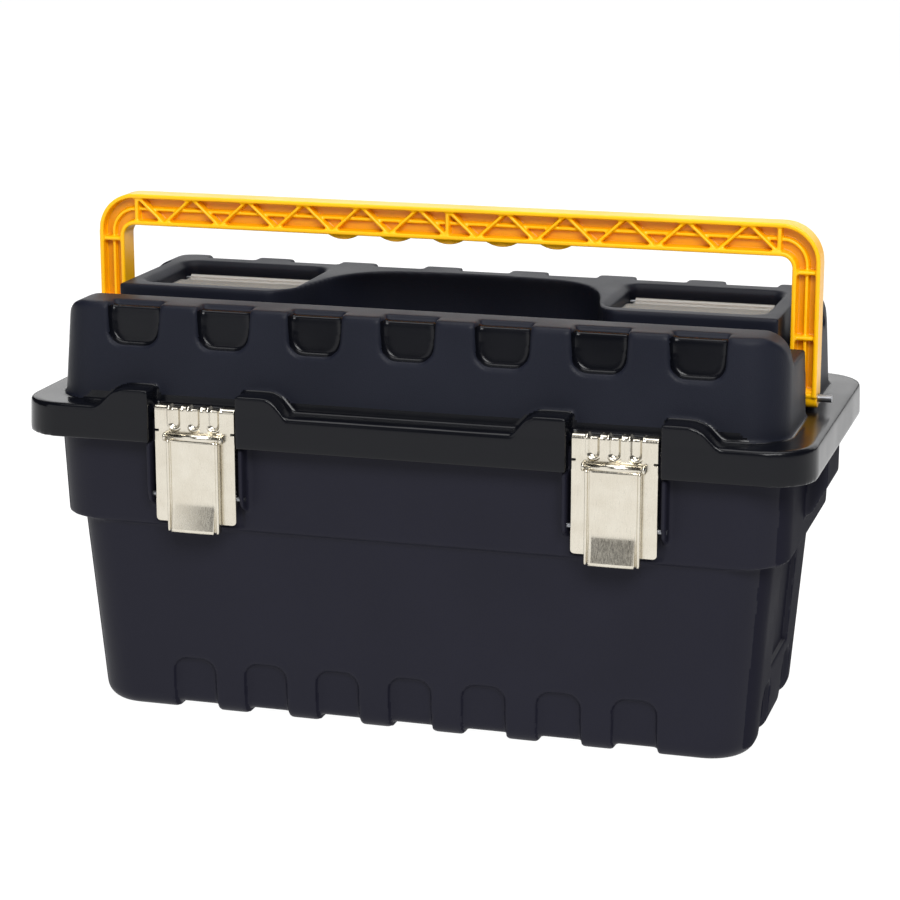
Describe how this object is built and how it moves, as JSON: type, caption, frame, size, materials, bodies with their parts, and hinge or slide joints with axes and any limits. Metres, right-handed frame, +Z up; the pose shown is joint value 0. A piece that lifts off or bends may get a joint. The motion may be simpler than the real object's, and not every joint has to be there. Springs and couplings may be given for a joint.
{
  "type": "toolbox with tray",
  "caption": "Moulded toolbox with a hinged domed lid, upright carry handle, steel toggle latches, clear-lidded organisers in the lid and a lift-out tray.",
  "frame": {"origin": "centre of the footprint on the floor", "axes": "+X to the right end along the box, +Y to the back (hinge side), +Z up"},
  "size_m": [0.409, 0.186, 0.261],
  "materials": {
    "case_plastic": "fine moulded texture, near black",
    "lid_plastic": "fine moulded texture on the dome, glossy ledge, near black",
    "handle_plastic": "yellow, satin gloss",
    "latch_steel": "bright plated sheet steel",
    "pin_steel": "plain steel wire",
    "cover_clear": "clear plastic",
    "insert_plastic": "dark insert",
    "tray_plastic": "dark grey moulded"
  },
  "bodies": {
    "case": {"case_shell": "case_plastic", "hinge_pin_left": "pin_steel", "hinge_pin_right": "pin_steel", "latch_axle_left": "pin_steel", "latch_axle_right": "pin_steel"},
    "lid": {"lid_shell": "lid_plastic", "handle_peg_left": "pin_steel", "handle_peg_right": "pin_steel", "cover_pin_left": "pin_steel", "cover_pin_right": "pin_steel", "organiser_bin_left": "insert_plastic", "organiser_bin_right": "insert_plastic"},
    "handle": {"carry_handle": "handle_plastic"},
    "tray": {"tray": "tray_plastic", "tray_divider_left": "tray_plastic", "tray_divider_right": "tray_plastic", "tray_handle_pin_left": "pin_steel", "tray_handle_pin_right": "pin_steel"},
    "tray_bail": {"tray_handle": "handle_plastic"},
    "hasp_left": {"latch_hasp_left": "latch_steel", "tongue_pin_left": "pin_steel"},
    "tongue_left": {"latch_tongue_left": "latch_steel"},
    "cover_left": {"organiser_cover_left": "cover_clear"},
    "hasp_right": {"latch_hasp_right": "latch_steel", "tongue_pin_right": "pin_steel"},
    "tongue_right": {"latch_tongue_right": "latch_steel"},
    "cover_right": {"organiser_cover_right": "cover_clear"}
  },
  "joints": [
    {"name": "lid_hinge", "type": "hinge", "parent": "case", "child": "lid", "pos_m": [0, 0.089, 0.143], "axis": [-1, 0, 0], "range_deg": [0, 100]},
    {"name": "tray_lift", "type": "slide", "parent": "case", "child": "tray", "axis": [0, 0, 1], "range_m": [0, 0.112]},
    {"name": "tray_handle_fold", "type": "hinge", "parent": "tray", "child": "tray_bail", "pos_m": [0, 0, 0.1397], "axis": [-1, 0, 0], "range_deg": [0, 90]},
    {"name": "handle_swing", "type": "hinge", "parent": "lid", "child": "handle", "pos_m": [0, 0, 0.1725], "axis": [1, 0, 0], "range_deg": [-9, 9]},
    {"name": "hasp_left_swing", "type": "hinge", "parent": "case", "child": "hasp_left", "pos_m": [-0.1084, -0.086, 0.121], "axis": [1, 0, 0], "range_deg": [0, 20]},
    {"name": "tongue_left_lift", "type": "hinge", "parent": "hasp_left", "child": "tongue_left", "pos_m": [-0.1084, -0.0902, 0.152], "axis": [-1, 0, 0], "range_deg": [0, 75]},
    {"name": "hasp_right_swing", "type": "hinge", "parent": "case", "child": "hasp_right", "pos_m": [0.1084, -0.086, 0.121], "axis": [1, 0, 0], "range_deg": [0, 20]},
    {"name": "tongue_right_lift", "type": "hinge", "parent": "hasp_right", "child": "tongue_right", "pos_m": [0.1084, -0.0902, 0.152], "axis": [-1, 0, 0], "range_deg": [0, 75]},
    {"name": "cover_left_hinge", "type": "hinge", "parent": "lid", "child": "cover_left", "pos_m": [-0.125, 0.0465, 0.2074], "axis": [-1, 0, 0], "range_deg": [0, 95]},
    {"name": "cover_right_hinge", "type": "hinge", "parent": "lid", "child": "cover_right", "pos_m": [0.125, 0.0465, 0.2074], "axis": [-1, 0, 0], "range_deg": [0, 95]}
  ],
  "couplings": [
    {"joint": "tray_lift", "follows": "lid_hinge", "m_per_rad": 0.063}
  ]
}
